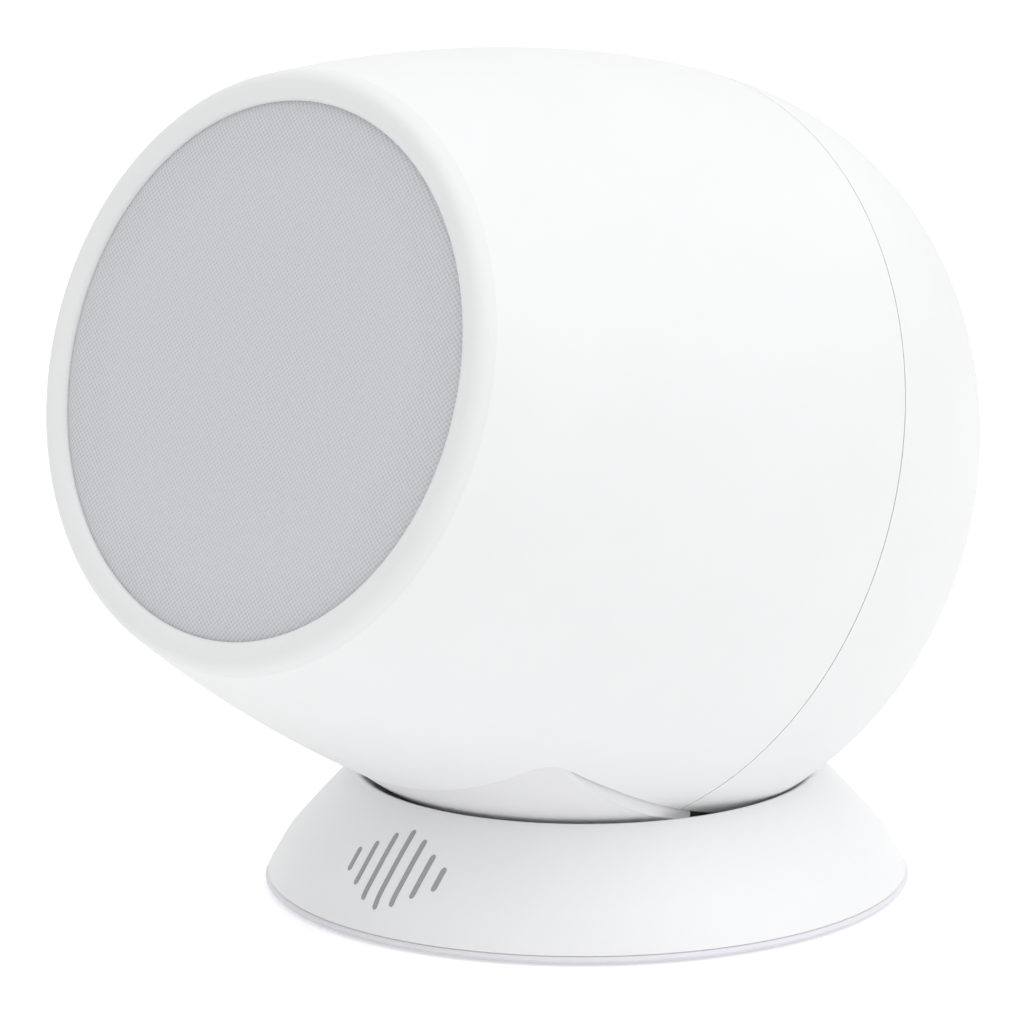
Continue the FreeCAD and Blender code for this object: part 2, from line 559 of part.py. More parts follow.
def build_rear_controls():
    rear = BOARD_S - BOARD_T
    switches = []
    for name, x in BUTTONS.items():
        housing = box(x - 3.0, x + 3.0, BUTTON_Y - 3.0, BUTTON_Y + 3.0, rear - 3.4, rear)
        switches.append(housing.cut(cylinder(1.75, rear - 5, rear - 1.0, x, BUTTON_Y)))
        head_node(name + "_plunger", cylinder(1.7, rear - 4.4, rear - 1.3 - BUTTON_TRAVEL, x, BUTTON_Y))
        cap = cylinder(3.2, PANEL_OUT - 0.7, PANEL_IN + 0.3, x, BUTTON_Y)
        cap = cap.makeFillet(0.45, [e for e in cap.Edges if e.BoundBox.ZMax < PANEL_OUT - 0.69])
        flange = cylinder(4.1, PANEL_IN + 0.3, PANEL_IN + 0.9, x, BUTTON_Y)
        stem = cylinder(1.6, PANEL_IN + 0.9, rear - 4.4, x, BUTTON_Y)
        head_node(name + "_button", fuse([cap, flange, stem]))
    head_node("tact_switches", group(switches))
    shell = rounded_prism(4.47, 1.63, 1.6, PANEL_OUT + 0.2, rear, 0, INLET_Y)
    mouth = rounded_prism(4.17, 1.33, 1.3, PANEL_OUT - 1, rear - 2.0, 0, INLET_Y)
    tongue = box(-3.35, 3.35, INLET_Y - 0.35, INLET_Y + 0.35, PANEL_OUT + 0.9, rear - 2.0)
    head_node("power_inlet", fuse([shell.cut(mouth), tongue]))


def build_microphones():
    board = FRAME_BACK - 1.9
    head_node("mic_board", box(-12, 12, 27.5, 32.5, board, board + 0.8))
    mics = [box(x - 1.75, x + 1.75, 28.6, 31.3, board + 0.8, board + 1.8) for x in (-9, 9)]
    head_node("microphones", group(mics))
    head_node("status_led", box(-0.8, 0.8, 29.3, 30.3, board + 0.8, board + 1.5))
    flex = fuse([box(-3, 3, 32.5, 34.3, board + 0.2, board + 0.4), box(-3, 3, 34.1, 34.3, 50.6, board + 0.2),
                 box(-3, 3, 34.1, 35.6, 50.6, 50.8), box(-3, 3, 35.4, 35.6, 43.0, 50.6),
                 box(-3, 3, 30.6, 35.6, 42.8, 43.0), box(-3, 3, 30.6, 30.8, -26.0, 42.8),
                 box(-3, 3, 28.4, 30.8, -26.2, -26.0)])
    head_node("mic_flex", flex)


def main():
    build_base()
    build_swivel()
    build_shells()
    build_grille()
    build_driver()
    build_cone()
    build_board()
    build_rear_controls()
    build_microphones()
    os.makedirs("parts", exist_ok=True)
    for name, shape in NODES.items():
        bad = [s for s in shape.Solids if not s.isValid()]
        print(name, "solids", len(shape.Solids), "volume %.1f" % shape.Volume, "INVALID" if bad else "")
        shape.exportStep("parts/%s.step" % name)


main()
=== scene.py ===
"""Looks of the ball-shaped smart speaker: materials, fine detail, light and camera."""
import bpy
import json
import math
import numpy as np
from mathutils import Matrix, Vector
from mathutils.bvhtree import BVHTree


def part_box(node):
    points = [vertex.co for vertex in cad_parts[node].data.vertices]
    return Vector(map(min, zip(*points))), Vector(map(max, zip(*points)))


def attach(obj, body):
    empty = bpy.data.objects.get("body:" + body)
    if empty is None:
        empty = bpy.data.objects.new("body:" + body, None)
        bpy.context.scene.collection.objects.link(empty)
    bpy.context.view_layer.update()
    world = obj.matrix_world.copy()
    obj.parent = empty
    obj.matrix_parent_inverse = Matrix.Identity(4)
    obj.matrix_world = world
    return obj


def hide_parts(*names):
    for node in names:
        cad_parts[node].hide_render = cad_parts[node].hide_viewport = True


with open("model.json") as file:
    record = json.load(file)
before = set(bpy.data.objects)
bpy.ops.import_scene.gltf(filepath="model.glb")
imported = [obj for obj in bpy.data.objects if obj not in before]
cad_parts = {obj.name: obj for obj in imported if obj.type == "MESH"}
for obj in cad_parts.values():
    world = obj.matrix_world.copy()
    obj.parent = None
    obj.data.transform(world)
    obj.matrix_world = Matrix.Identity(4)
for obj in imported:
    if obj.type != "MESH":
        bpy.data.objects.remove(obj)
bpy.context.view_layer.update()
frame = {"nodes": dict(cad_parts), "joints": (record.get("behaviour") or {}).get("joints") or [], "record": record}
MM = 0.001

# ---- sizes and settings ----------------------------------------------------------------------
# Cloth, in metres between threads.
GRILLE_PITCH = 0.00034
SPIDER_PITCH = 0.0005
# Rear panel, in millimetres up the back of the head.
BUTTON_Y, INLET_Y = 6.0, -8.5
# Printed signs, in millimetres.
BAR_HEIGHTS = (2.6, 4.8, 7.4, 8.8, 7.4, 4.8, 2.6)
BAR_SPAN = (-6.0, 8.4)
BAR_MIDDLE = 8.3
BAR_WIDTH = 0.76
SIGN_WIDTH = 0.42
SIGN_REACH = 1.1
SIGN_GAP = 0.43
# Camera, in degrees and metres, with the lens in millimetres.
CAMERA_TURNS = (44.27, -13.44, -0.51, -0.31)        # azimuth, pitch, yaw, roll
CAMERA_DISTANCE, CAMERA_HEIGHT = 1.04512, 0.2983
CAMERA_LENS = 298.8
# Light: how white and how bright the floors are, then the surrounding light.
FLOOR_WHITE = 0.97
TABLE_GLOW, BACKDROP_GLOW = 0.30, 0.60
BOUNCE, BOUNCE_GLOW = 0.93, 0.13
WORLD_STRENGTH = 0.64
LIGHTS = (      # name, azimuth, elevation, distance, size, power
    ("key_right", 110, 40, 1.3, (1.2, 1.2), 4.3),
    ("top", 40, 85, 1.4, (1.6, 1.6), 7.2),
    ("fill_left", -20, 25, 1.6, (1.4, 1.4), 1.0),
)
WHITE = (0.86, 0.865, 0.87)

# ---- where the head sits -------------------------------------------------------------------
joints = {j["name"]: j for j in frame["joints"]}
tilt_centre = Vector(joints["head_tilt"]["pos_m"])
forward = Vector(joints["cone_stroke"]["axis"]).normalized()
side = Vector((1, 0, 0))
head_up = forward.cross(side)
HEAD = Matrix((side, head_up, forward)).transposed().to_4x4()
HEAD.translation = tilt_centre


# ---- node helpers --------------------------------------------------------------------------
def new_material(name):
    material = bpy.data.materials.new(name)
    material.use_nodes = True
    tree = material.node_tree
    return material, tree, tree.nodes["Principled BSDF"]


def add(tree, kind, **values):
    made = tree.nodes.new(kind)
    for key, value in values.items():
        if hasattr(made, key):
            setattr(made, key, value)
        else:
            made.inputs[key.replace("_", " ")].default_value = value
    return made


def noise(tree, coordinate, scale, detail=3.0, roughness=0.5):
    made = add(tree, "ShaderNodeTexNoise", Scale=scale, Detail=detail, Roughness=roughness)
    tree.links.new(coordinate, made.inputs["Vector"])
    return made.outputs["Fac"]


def ramp(tree, value, stops):
    made = tree.nodes.new("ShaderNodeValToRGB")
    elements = made.color_ramp.elements
    while len(elements) < len(stops):
        elements.new(0.5)
    for element, (place, colour) in zip(elements, stops):
        element.position = place
        element.color = colour if len(colour) == 4 else (*colour, 1)
    tree.links.new(value, made.inputs["Fac"])
    return made.outputs["Color"]


def spread_value(tree, value, low, high):
    made = add(tree, "ShaderNodeMapRange", To_Min=low, To_Max=high)
    tree.links.new(value, made.inputs["Value"])
    return made.outputs["Result"]


def bump(tree, shader, height, strength, distance):
    made = add(tree, "ShaderNodeBump", Strength=strength, Distance=distance)
    tree.links.new(height, made.inputs["Height"])
    tree.links.new(made.outputs["Normal"], shader.inputs["Normal"])
    return made


def scaled(colour, factor):
    return tuple(min(1.0, c * factor) for c in colour)


def place(tree):
    return tree.nodes.new("ShaderNodeTexCoord").outputs["Object"]


def math_node(tree, operation, first, second=None, third=None):
    made = add(tree, "ShaderNodeMath", operation=operation)
    for socket, value in zip(made.inputs, (first, second, third)):
        if isinstance(value, (int, float)):
            socket.default_value = value
        elif value is not None:
            tree.links.new(value, socket)
    return made.outputs[0]


def edge_mask(tree, radius):
    """Zero on open surfaces, rising to one along edges; also the softened normal itself."""
    soft = add(tree, "ShaderNodeBevel", samples=6, Radius=radius)
    true = tree.nodes.new("ShaderNodeNewGeometry")
    agree = add(tree, "ShaderNodeVectorMath", operation="DOT_PRODUCT")
    tree.links.new(soft.outputs["Normal"], agree.inputs[0])
    tree.links.new(true.outputs["Normal"], agree.inputs[1])
    made = add(tree, "ShaderNodeMapRange", From_Min=1.0, From_Max=0.86, To_Min=0.0, To_Max=1.0)
    tree.links.new(agree.outputs["Value"], made.inputs["Value"])
    return made.outputs["Result"], soft.outputs["Normal"]


def mixed_colour(tree, amount, first, second):
    made = add(tree, "ShaderNodeMix", data_type="RGBA")
    tree.links.new(amount, made.inputs["Factor"])
    tree.links.new(first, made.inputs[6])
    if isinstance(second, tuple):
        made.inputs[7].default_value = (*second, 1)
    else:
        tree.links.new(second, made.inputs[7])
    return made.outputs[2]


# ---- materials -----------------------------------------------------------------------------
def moulded(name, colour, roughness=0.42, grain=0.35, grain_scale=2600.0, specular=0.4, variation=0.015,
            edge=0.00025, worn=1.05, soften=True):
    """Moulded plastic: spark-eroded grain, faint flow marks in colour and gloss, handled edges.

    soften rounds sharp edges in the shading; it is off where two parts meet flush."""
    material, tree, shader = new_material(name)
    where = place(tree)
    broad = noise(tree, where, 28.0, 4.0)
    body = ramp(tree, broad, [(0.3, scaled(colour, 1 - variation)), (0.7, scaled(colour, 1 + variation))])
    gloss = noise(tree, where, 160.0, 5.0)
    rough = spread_value(tree, gloss, roughness - 0.05, roughness + 0.06)
    fine = noise(tree, where, grain_scale, 2.0, 0.6)
    relief = bump(tree, shader, fine, grain, 0.00002)
    if edge:
        mask, soft = edge_mask(tree, edge)
        patchy = spread_value(tree, noise(tree, where, 420.0, 4.0), 0.35, 1.0)
        rubbed = math_node(tree, "MULTIPLY", mask, patchy)
        body = mixed_colour(tree, rubbed, body, scaled(colour, worn))
        rough = math_node(tree, "MULTIPLY_ADD", rubbed, -0.12, rough)
        if soften:
            tree.links.new(soft, relief.inputs["Normal"])
    tree.links.new(body, shader.inputs["Base Color"])
    tree.links.new(rough, shader.inputs["Roughness"])
    shader.inputs["Specular IOR Level"].default_value = specular
    return material


def metal(name, colour, roughness=0.3, streak=(1, 1, 14), scale=420.0):
    """Plated or brushed metal with stretched grain and dull patches."""
    material, tree, shader = new_material(name)
    where = place(tree)
    stretch = add(tree, "ShaderNodeMapping", Scale=streak)
    tree.links.new(where, stretch.inputs["Vector"])
    grain = noise(tree, stretch.outputs["Vector"], scale, 6.0)
    dull = noise(tree, where, 90.0, 4.0)
    tree.links.new(ramp(tree, dull, [(0.25, scaled(colour, 0.82)), (0.7, colour)]),
                   shader.inputs["Base Color"])
    tree.links.new(spread_value(tree, grain, roughness - 0.08, roughness + 0.14), shader.inputs["Roughness"])
    bump(tree, shader, grain, 0.2, 0.00003)
    shader.inputs["Metallic"].default_value = 1.0
    return material


def rough_solid(name, colour, roughness, scale, strength, distance, spread=0.25, sheen=0.0):
    """Foam, paper, ferrite or cast iron: a coarse pitted surface with matching colour change."""
    material, tree, shader = new_material(name)
    where = place(tree)
    lumps = noise(tree, where, scale, 8.0, 0.65)
    tree.links.new(ramp(tree, lumps, [(0.3, scaled(colour, 1 - spread)), (0.7, scaled(colour, 1 + spread))]),
                   shader.inputs["Base Color"])
    shader.inputs["Roughness"].default_value = roughness
    shader.inputs["Sheen Weight"].default_value = sheen
    bump(tree, shader, lumps, strength, distance)
    return material


def woven(name, colour, pitch, dark=0.8, strength=0.6, relief=0.00006):
    """A plain weave with threads pitch metres apart, square across the grille; fuzzy and faintly cloudy, and
    darker towards the ring by painted shade.
    """
    material, tree, shader = new_material(name)
    where = place(tree)
    turned = add(tree, "ShaderNodeMapping", vector_type="POINT")
    turned.inputs["Rotation"].default_value = (math.atan2(forward.z, -forward.y) - math.pi / 2, 0.0, 0.0)
    turned.inputs["Location"].default_value = (0.0, -head_up.dot(tilt_centre), 0.0)
    tree.links.new(where, turned.inputs["Vector"])
    split = tree.nodes.new("ShaderNodeSeparateXYZ")
    tree.links.new(turned.outputs["Vector"], split.inputs["Vector"])
    waves = [math_node(tree, "SINE", math_node(tree, "MULTIPLY", split.outputs[axis], math.pi / pitch))
             for axis in ("X", "Y")]
    over = math_node(tree, "MULTIPLY_ADD", math_node(tree, "MULTIPLY", waves[0], waves[1]), 0.5, 0.5)
    threads = math_node(tree, "MULTIPLY_ADD", noise(tree, where, 5200.0, 3.0), 0.5, over)
    shade = math_node(tree, "MULTIPLY_ADD", noise(tree, where, 60.0, 5.0), 0.18, threads)
    flatten = add(tree, "ShaderNodeVectorMath", operation="MULTIPLY")
    flatten.inputs[1].default_value = (1, 1, 0)
    tree.links.new(turned.outputs["Vector"], flatten.inputs[0])
    radius = add(tree, "ShaderNodeVectorMath", operation="LENGTH")
    tree.links.new(flatten.outputs[0], radius.inputs[0])
    # Painted shade: the cloth darkens towards its edge by the ring, standing in for the shadow of the ring's lip.
    rim_painted_shade = add(tree, "ShaderNodeMapRange", From_Min=24 * MM, From_Max=34 * MM, To_Min=0.0, To_Max=-0.22)
    tree.links.new(radius.outputs["Value"], rim_painted_shade.inputs["Value"])
    shade = math_node(tree, "ADD", shade, rim_painted_shade.outputs["Result"])
    stops = [(0.15, scaled(colour, dark)), (0.6, colour), (1.0, scaled(colour, 1.1))]
    tree.links.new(ramp(tree, shade, stops), shader.inputs["Base Color"])
    slubs = noise(tree, where, 900.0, 3.0)
    tree.links.new(spread_value(tree, slubs, 0.78, 0.92), shader.inputs["Roughness"])
    shader.inputs["Sheen Weight"].default_value = 0.25
    shader.inputs["Sheen Roughness"].default_value = 0.5
    shader.inputs["Specular IOR Level"].default_value = 0.2
    bump(tree, shader, threads, strength, relief)
    return material


paint = {
    "shell_plastic": moulded("shell_white", WHITE, specular=0.3, soften=False, worn=1.02),
    "rear_plastic": moulded("rear_white", WHITE, specular=0.3, soften=False, worn=1.02),
    "base_plastic": moulded("base_white", scaled(WHITE, 1.08), specular=0.3, soften=False, worn=1.02),
    # Painted shade: the ring is the shell's white made 4% darker, for its front face turned away from the light.
    "ring_plastic": moulded("ring_white_painted_shade", scaled(WHITE, 0.96), roughness=0.4, specular=0.3, soften=False,
                            worn=1.02),
    "panel_plastic": moulded("panel_grey", (0.62, 0.625, 0.635), roughness=0.55, grain=0.8,
                             grain_scale=1500.0),
    "button_plastic": moulded("button_white", (0.75, 0.755, 0.76), roughness=0.35),
    "carrier_plastic": moulded("carrier_grey", (0.83, 0.83, 0.84)),
    "plate_plastic": moulded("plate_cool_grey", (0.86, 0.845, 0.90), roughness=0.5),
    "foot_rubber": moulded("foot_rubber", (0.34, 0.34, 0.36), roughness=0.8, grain=0.8, grain_scale=900.0),
    "grille_fabric": woven("grille_weave", (0.59, 0.595, 0.62), GRILLE_PITCH),
    "black_plastic": moulded("black_nylon", (0.025, 0.025, 0.027), roughness=0.5, grain=0.7, variation=0.2),
    "acetal": moulded("acetal", (0.82, 0.82, 0.78), roughness=0.3, grain=0.15),
    "zinc_steel": metal("zinc_plate", (0.70, 0.71, 0.73)),
    "screw_steel": metal("screw_steel", (0.62, 0.62, 0.64), roughness=0.26, scale=900.0),
    "spring_steel": metal("spring_steel", (0.55, 0.56, 0.58), roughness=0.2),
    "can_steel": metal("tinned_can", (0.76, 0.76, 0.75), roughness=0.34, streak=(1, 1, 1)),
    "inlet_steel": metal("inlet_steel", (0.72, 0.72, 0.73), roughness=0.22),
    "ballast_iron": rough_solid("cast_iron", (0.10, 0.10, 0.105), 0.62, 700.0, 0.8, 0.0002),
    "gasket_foam": rough_solid("foam", (0.03, 0.03, 0.03), 0.95, 2200.0, 0.9, 0.00015),
    "basket_paint": moulded("powder_coat", (0.03, 0.03, 0.032), roughness=0.48, grain=0.9,
                            grain_scale=1300.0),
    "surround_rubber": moulded("surround_rubber", (0.02, 0.02, 0.02), roughness=0.55, grain=0.3,
                               variation=0.3),
    "spider_cloth": woven("spider_cloth", (0.50, 0.36, 0.16), SPIDER_PITCH),
    "ferrite": rough_solid("ferrite", (0.05, 0.05, 0.055), 0.55, 900.0, 0.5, 0.0001),
    "tinned_brass": metal("tinned_brass", (0.78, 0.70, 0.48), roughness=0.3),
    "cone_paper": rough_solid("cone_paper", (0.05, 0.05, 0.05), 0.8, 1500.0, 0.6, 0.0001, sheen=0.1),
    "cap_paper": rough_solid("cap_paper", (0.035, 0.035, 0.035), 0.6, 1500.0, 0.3, 0.00006),
    "copper_coil": metal("copper_winding", (0.72, 0.33, 0.14), roughness=0.3, streak=(1, 12, 1)),
    "board_resin": moulded("solder_mask", (0.012, 0.10, 0.045), roughness=0.3, grain=0.3, variation=0.15),
    "capacitor_can": metal("capacitor_sleeve", (0.60, 0.61, 0.64), roughness=0.32),
    "connector_plastic": moulded("natural_nylon", (0.80, 0.77, 0.66), roughness=0.4),
    "lead_sleeve": moulded("lead_sleeve", (0.40, 0.02, 0.02), roughness=0.45, variation=0.1),
    "led_lens": moulded("led_lens", (0.85, 0.85, 0.78), roughness=0.2),
    "flex_film": moulded("flex_film", (0.50, 0.22, 0.03), roughness=0.3, variation=0.1),
}
print_grey = moulded("print_grey", (0.38, 0.38, 0.39), roughness=0.5, grain=0.6, variation=0.04, edge=0)
slots = {p["node"]: p["material_slot"] for p in frame["record"]["subparts"]}
for name, part in frame["nodes"].items():
    part.data.materials.clear()
    part.data.materials.append(paint[slots[name]])


# ---- modelled pieces -----------------------------------------------------------------------
def piece(name, vertices, faces, material, body):
    """A new mesh, smooth shaded, riding on a body; vertices are in metres in the object's frame."""
    mesh = bpy.data.meshes.new(name)
    mesh.from_pydata([tuple(v) for v in vertices], [], faces)
    mesh.validate()
    mesh.materials.append(material)
    mesh.shade_smooth()
    made = bpy.data.objects.new(name, mesh)
    bpy.context.scene.collection.objects.link(made)
    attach(made, body)
    return made


def smooth_line(points, steps):
    """A Catmull-Rom line through the points."""
    p = [np.array(q, float) for q in points]
    p = [2 * p[0] - p[1]] + p + [2 * p[-1] - p[-2]]
    line = []
    for a, b, c, d in zip(p, p[1:], p[2:], p[3:]):
        for t in np.arange(steps) / steps:
            line.append(0.5 * (2 * b + (c - a) * t + (2 * a - 5 * b + 4 * c - d) * t * t
                               + (3 * b - a - 3 * c + d) * t ** 3))
    return line + [p[-2]]


def spun(outline, count, ripple=None):
    """Vertices and faces of a closed outline in millimetres (radius, station) spun round the grille axis.

    A point on the axis becomes one pole. ripple(radius, angle) lowers the station a little."""
    vertices, rows = [], []
    for r, s in outline:
        if r < 1e-6:
            rows.append([len(vertices)] * count)
            vertices.append(HEAD @ (Vector((0, 0, s)) * MM))
            continue
        rows.append(list(range(len(vertices), len(vertices) + count)))
        for k in range(count):
            angle = 2 * math.pi * k / count
            drop = ripple(r, angle) if ripple else 0.0
            vertices.append(HEAD @ (Vector((r * math.cos(angle), r * math.sin(angle), s - drop)) * MM))
    faces = []
    for low, high in zip(rows, rows[1:] + rows[:1]):
        for k in range(count):
            corner = [low[k], low[(k + 1) % count], high[(k + 1) % count], high[k]]
            face = [v for i, v in enumerate(corner) if v not in corner[:i]]
            if len(face) > 2:
                faces.append(face)
    return vertices, faces


def tuck(radius, angle):
    """Small uneven pulls where the cloth turns down into the ring."""
    near = min(1.0, max(0.0, (radius - 31.2) / 2.2)) * min(1.0, max(0.0, (34.5 - radius) / 0.6))
    pulls = math.sin(46 * angle + 1.3 * math.sin(5 * angle)) + 0.6 * math.sin(71 * angle + 2.1)
    return 0.016 * near * near * pulls


def build_cloth():
    """The grille cloth: flat over the frame, dipping at its edge and turned down inside the ring."""
    top = [(0.0, 59.55)] + [(r, 59.55) for r in np.arange(2.5, 30.1, 2.5)]
    top += smooth_line([(30.6, 59.55), (31.6, 59.49), (32.5, 59.3), (33.2, 59.0), (34.1, 58.78),
                        (34.62, 58.3), (34.66, 57.15)], 4)
    under = smooth_line([(34.42, 57.15), (34.42, 58.12), (34.1, 58.41), (33.2, 58.63), (32.4, 58.9),
                         (31.5, 59.07), (30.6, 59.12)], 4)
    under += [(r, 59.12) for r in np.arange(30.0, 2.4, -2.5)] + [(0.0, 59.12)]
    vertices, faces = spun(top + under, 288, tuck)
    cloth = piece("stretched_cloth", vertices, faces, paint["grille_fabric"], "head")
    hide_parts("grille_cloth")


def build_spider():
    """The driver's corrugated centring cloth."""
    wave = [(r, 33.98 + 0.43 * math.sin((r - 10.6) * 2.2)) for r in np.arange(10.75, 20.61, 0.14)]
    top = wave + [(21.2, 33.88), (22.5, 33.88)]
    under = [(22.5, 33.64), (21.2, 33.64)] + [(r, s - 0.22) for r, s in wave[::-1]]
    vertices, faces = spun(top + under, 144)
    made = piece("corrugated_spider", vertices, faces, paint["spider_cloth"], "head")
    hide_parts("driver_spider")


def build_gasket():
    """The driver's foam gasket, crowned between its bonded faces and pierced by the screws."""
    outline = smooth_line([(27.62, 47.13), (28.3, 47.04), (29.75, 47.02), (31.2, 47.04), (31.88, 47.13),
                           (31.94, 47.25), (31.88, 47.37), (31.2, 47.46), (29.75, 47.48), (28.3, 47.46),
                           (27.62, 47.37), (27.56, 47.25)], 3)
    vertices, faces = spun(outline, 240)
    ring = piece("foam_gasket", vertices, faces, paint["gasket_foam"], "head")
    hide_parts("driver_gasket")
    cutters = []
    for quarter in range(4):
        centre = Matrix.Rotation(quarter * math.pi / 2, 3, "Z") @ Vector((29.6, 0, 0))
        low = [HEAD @ ((centre + Vector((1.3 * math.cos(a), 1.3 * math.sin(a), 46.5))) * MM)
               for a in np.linspace(0, 2 * math.pi, 25)[:-1]]
        high = [v + forward * 1.6 * MM for v in low]
        walls = [(k, (k + 1) % 24, 24 + (k + 1) % 24, 24 + k) for k in range(24)]
        ends = [tuple(range(24))[::-1], tuple(range(24, 48))]
        mesh = bpy.data.meshes.new("cutter")
        mesh.from_pydata([tuple(v) for v in low + high], [], walls + ends)
        cutter = bpy.data.objects.new("cutter", mesh)
        bpy.context.scene.collection.objects.link(cutter)
        hole = ring.modifiers.new("hole", "BOOLEAN")
        hole.operation, hole.solver, hole.object = "DIFFERENCE", "EXACT", cutter
        cutters.append(cutter)
    pierced = bpy.data.meshes.new_from_object(ring.evaluated_get(bpy.context.evaluated_depsgraph_get()))
    ring.modifiers.clear()
    ring.data = pierced
    for cutter in cutters:
        bpy.data.objects.remove(cutter)


def surface_of(node):
    """A ray tree of one CAD node, in the object's frame."""
    part = frame["nodes"][node]
    return BVHTree.FromPolygons([part.matrix_world @ v.co for v in part.data.vertices],
                                [tuple(p.vertices) for p in part.data.polygons])


def printed(name, patches, tree, origin, toward, body, rise=0.03):
    """Ink laid on a surface: each patch is rows of (u, v) points, in millimetres, that origin turns into a
    starting point in space; a ray from there along toward finds the surface."""
    vertices, faces = [], []
    for rows in patches:
        start, wide = len(vertices), len(rows[0])
        found = []
        for u, v in [p for row in rows for p in row]:
            hit, normal, _, _ = tree.ray_cast(origin(u, v), toward)
            found.append((hit, normal if normal.dot(toward) < 0 else -normal))
        count = len(found)
        vertices += [hit + normal * rise * MM for hit, normal in found]
        vertices += [hit - normal * 0.01 * MM for hit, normal in found]
        grid = np.arange(count).reshape(len(rows), wide)
        for i in range(len(rows) - 1):
            for j in range(wide - 1):
                quad = [grid[i, j], grid[i, j + 1], grid[i + 1, j + 1], grid[i + 1, j]]
                faces.append([start + int(q) for q in quad])
                faces.append([start + count + int(q) for q in quad[::-1]])
        border = list(grid[0]) + list(grid[1:, -1]) + list(grid[-1, -2::-1]) + list(grid[-2:0:-1, 0])
        for a, b in zip(border, border[1:] + border[:1]):
            faces.append([start + int(a), start + count + int(a), start + count + int(b), start + int(b)])
    return piece(name, vertices, faces, print_grey, body)


def stroke(u0, v0, u1, v1, width, rows=22, across=7):
    """A straight pen stroke with round ends, as rows of points."""
    start, end = Vector((u0, v0)), Vector((u1, v1))
    along = (end - start).normalized() if (end - start).length > 1e-6 else Vector((0, 1))
    square = Vector((-along.y, along.x))
    half = width / 2
    reach = (end - start).length
    made = []
    for t in 0.5 - 0.5 * np.cos(np.linspace(0.04, math.pi - 0.04, rows)):
        place_along = -half + t * (reach + 2 * half)
        past = max(-place_along, place_along - reach, 0.0)
        spread = math.sqrt(max(half * half - past * past, 1e-4 * half))
        centre = start + along * place_along
        made.append([tuple(centre + square * spread * w) for w in np.linspace(-1, 1, across)])
    return made


def build_prints():
    """A generic sound-level sign on the base, and a sign on each button."""
    bars = [stroke(x, BAR_MIDDLE - tall / 2 + BAR_WIDTH / 2, x, BAR_MIDDLE + tall / 2 - BAR_WIDTH / 2,
                   BAR_WIDTH)
            for x, tall in zip(np.linspace(*BAR_SPAN, len(BAR_HEIGHTS)), BAR_HEIGHTS)]
    printed("sound_level_sign", bars, surface_of("base_shell"), lambda u, v: Vector((u, -80, v)) * MM,
            Vector((0, 1, 0)), "base")
    level = stroke(-SIGN_REACH, 0, SIGN_REACH, 0, SIGN_WIDTH)
    signs = {"volume_down": [level],
             "action": [stroke(0, 0, 0, 0, 1.1)],
             "volume_up": [level, stroke(0, SIGN_GAP, 0, SIGN_REACH, SIGN_WIDTH),
                           stroke(0, -SIGN_GAP, 0, -SIGN_REACH, SIGN_WIDTH)]}
    for name, strokes in signs.items():
        low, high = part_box(name + "_button")
        centre = HEAD.inverted() @ ((Vector(low) + Vector(high)) / 2)
        printed(name + "_sign", strokes, surface_of(name + "_button"),
                lambda u, v: HEAD @ Vector((centre.x + u * MM, BUTTON_Y * MM + v * MM, -60 * MM)),
                forward, name, rise=0.02)


def slab(low, high, ease):
    """A box in head millimetres with its edges eased, as vertices and faces."""
    vertices, faces = [], []
    cx, cy, cz = [(a + b) / 2 for a, b in zip(low, high)]
    hx, hy, hz = [(b - a) / 2 for a, b in zip(low, high)]
    levels = [(-hz, ease), (-hz + ease, 0.0), (hz - ease, 0.0), (hz, ease)]
    for z, inset in levels:
        x, y = hx - inset, hy - inset
        ring = [(x, y - ease), (x - ease, y), (-x + ease, y), (-x, y - ease),
                (-x, -y + ease), (-x + ease, -y), (x - ease, -y), (x, -y + ease)]
        vertices += [HEAD @ (Vector((cx + a, cy + b, cz + z)) * MM) for a, b in ring]
    for level in range(3):
        for k in range(8):
            here, beside = 8 * level + k, 8 * level + (k + 1) % 8
            faces.append((here, beside, beside + 8, here + 8))
    return vertices, faces + [tuple(range(8))[::-1], tuple(range(24, 32))]


def build_inlet_detail():
    """The dark tongue sleeve in the power inlet and its rows of contacts."""
    vertices, faces = slab((-3.42, INLET_Y - 0.42, -37.78), (3.42, INLET_Y + 0.42, -30.0), 0.1)
    piece("inlet_tongue", vertices, faces, paint["black_plastic"], "head")
    vertices, faces = [], []
    for row in (-1, 1):
        for k in range(12):
            x, y = (k - 5.5) * 0.5, INLET_Y + row * 0.43
            some, these = slab((x - 0.13, y - 0.03, -37.5), (x + 0.13, y + 0.03, -33.0), 0.02)
            faces += [tuple(len(vertices) + i for i in face) for face in these]
            vertices += some
    piece("inlet_contacts", vertices, faces, paint["tinned_brass"], "head")


build_cloth()
build_spider()
build_gasket()
build_prints()
build_inlet_detail()


# ---- camera --------------------------------------------------------------------------------
def aim_camera():
    azimuth, pitch, yaw, roll = [math.radians(a) for a in CAMERA_TURNS]
    look = Vector((math.sin(yaw) * math.cos(pitch), math.cos(yaw) * math.cos(pitch), math.sin(pitch)))
    right = look.cross(Vector((0, 0, 1))).normalized()
    up = right.cross(look)
    right, up = right * math.cos(roll) + up * math.sin(roll), up * math.cos(roll) - right * math.sin(roll)
    pose = Matrix((right, up, -look)).transposed().to_4x4()
    pose.translation = Vector((0, -CAMERA_DISTANCE, CAMERA_HEIGHT))
    camera = bpy.data.objects.new("camera", bpy.data.cameras.new("camera"))
    camera.data.lens = CAMERA_LENS
    camera.data.sensor_width = 36.0
    camera.data.clip_start, camera.data.clip_end = 0.05, 20.0
    camera.matrix_world = Matrix.Rotation(azimuth, 4, "Z") @ pose
    bpy.context.scene.collection.objects.link(camera)
    bpy.context.scene.camera = camera
    return camera


camera = aim_camera()


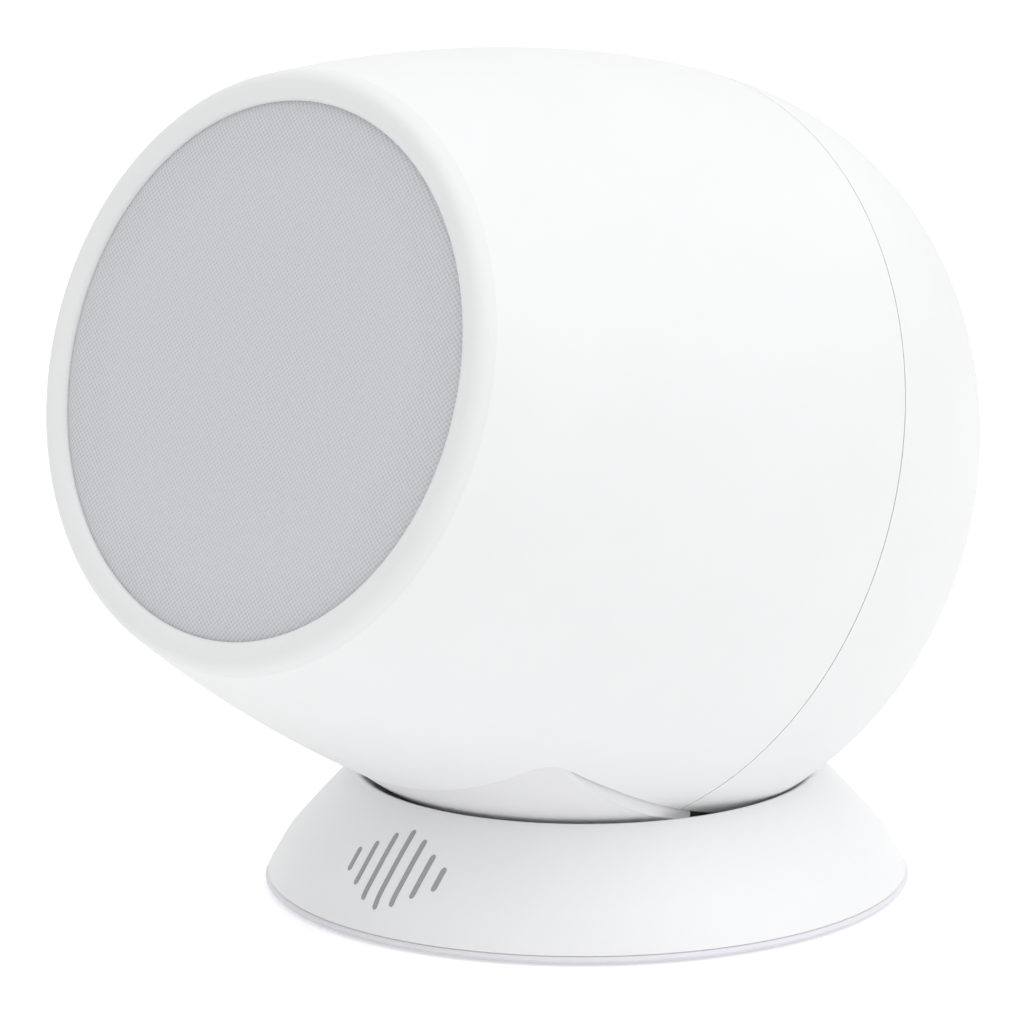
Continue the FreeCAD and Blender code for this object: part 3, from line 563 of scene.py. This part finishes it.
# ---- floor and light -----------------------------------------------------------------------
def pale_board(name, albedo, glow):
    """Matt white board with a slight glow, clear when looked at from behind."""
    material, tree, shader = new_material(name)
    faint = noise(tree, place(tree), 3.0)
    tree.links.new(ramp(tree, faint, [(0.3, (albedo - 0.01,) * 3), (0.7, (albedo + 0.01,) * 3)]),
                   shader.inputs["Base Color"])
    shader.inputs["Roughness"].default_value = 0.9
    shader.inputs["Emission Color"].default_value = (1, 1, 1, 1)
    shader.inputs["Emission Strength"].default_value = glow
    behind = tree.nodes.new("ShaderNodeNewGeometry").outputs["Backfacing"]
    choice = tree.nodes.new("ShaderNodeMixShader")
    tree.links.new(behind, choice.inputs[0])
    tree.links.new(shader.outputs[0], choice.inputs[1])
    tree.links.new(tree.nodes.new("ShaderNodeBsdfTransparent").outputs[0], choice.inputs[2])
    tree.links.new(choice.outputs[0], tree.nodes["Material Output"].inputs["Surface"])
    return material


def bowl(name, drop, materials):
    """A round floor that curves up into a wall all the way round; the wall takes the last material."""
    profile = [(r, 0.0) for r in (0.0, 0.3, 0.7, 1.25)]
    profile += [(1.25 + 0.75 * math.sin(a), 0.75 - 0.75 * math.cos(a))
                for a in np.linspace(0, math.pi / 2, 16)[1:]]
    profile.append((2.0, 3.5))
    count = 96
    vertices = [(0, 0, -drop)]
    vertices += [(r * math.cos(2 * math.pi * k / count), r * math.sin(2 * math.pi * k / count), z - drop)
                 for r, z in profile[1:] for k in range(count)]
    faces = [(0, 1 + k, 1 + (k + 1) % count) for k in range(count)]
    for row in range(len(profile) - 2):
        here, there = 1 + row * count, 1 + (row + 1) * count
        faces += [(here + k, there + k, there + (k + 1) % count, here + (k + 1) % count)
                  for k in range(count)]
    mesh = bpy.data.meshes.new(name)
    mesh.from_pydata(vertices, [], faces)
    mesh.shade_smooth()
    for material in materials:
        mesh.materials.append(material)
    for face in mesh.polygons:
        if face.center.z > 0.01:
            face.material_index = len(materials) - 1
    made = bpy.data.objects.new(name, mesh)
    bpy.context.scene.collection.objects.link(made)
    return made


def sweep(name, drop):
    """A floor that curves up into a wall on the side away from the camera."""
    away = camera.matrix_world.to_quaternion() @ Vector((0, 0, -1))
    away.z = 0
    away.normalize()
    across = Vector((0, 0, 1)).cross(away)
    profile = [(-4.0, 0.0), (1.2, 0.0)]
    profile += [(1.2 + 0.8 * math.sin(a), 0.8 - 0.8 * math.cos(a)) for a in np.linspace(0.1, math.pi / 2, 14)]
    profile.append((2.0, 4.0))
    vertices = [away * d + across * w + Vector((0, 0, z - drop)) for d, z in profile for w in (4.0, -4.0)]
    faces = [(2 * i, 2 * i + 1, 2 * i + 3, 2 * i + 2) for i in range(len(profile) - 1)]
    mesh = bpy.data.meshes.new(name)
    mesh.from_pydata([tuple(v) for v in vertices], [], faces)
    mesh.shade_smooth()
    made = bpy.data.objects.new(name, mesh)
    bpy.context.scene.collection.objects.link(made)
    return made


def floors():
    """The lit table that is seen, and just under it a duller one that throws light back at the object."""
    seen = bowl("floor", 0.0001, [pale_board("table", FLOOR_WHITE, TABLE_GLOW),
                                  pale_board("backdrop", FLOOR_WHITE, BACKDROP_GLOW)])
    seen.visible_diffuse = seen.visible_glossy = seen.visible_transmission = seen.visible_shadow = False
    thrown = sweep("bounce_floor", 0.0004)
    thrown.data.materials.append(pale_board("bounce", BOUNCE, BOUNCE_GLOW))
    thrown.visible_camera = False


def area_light(name, azimuth, elevation, distance, size, power):
    a, e = math.radians(azimuth), math.radians(elevation)
    target = Vector((0, 0, 0.055))
    spot = target + distance * Vector((math.sin(a) * math.cos(e), -math.cos(a) * math.cos(e), math.sin(e)))
    data = bpy.data.lights.new(name, "AREA")
    data.shape = "RECTANGLE"
    data.size, data.size_y = size
    data.energy = power
    light = bpy.data.objects.new(name, data)
    light.location = spot
    light.rotation_euler = (target - spot).to_track_quat("-Z", "Y").to_euler()
    bpy.context.scene.collection.objects.link(light)


floors()
for settings in LIGHTS:
    area_light(*settings)
world = bpy.data.worlds.new("studio")
world.use_nodes = True
world.node_tree.nodes["Background"].inputs["Color"].default_value = (1, 1, 1, 1)
world.node_tree.nodes["Background"].inputs["Strength"].default_value = WORLD_STRENGTH
bpy.context.scene.world = world
bpy.context.scene.view_settings.view_transform = "Standard"
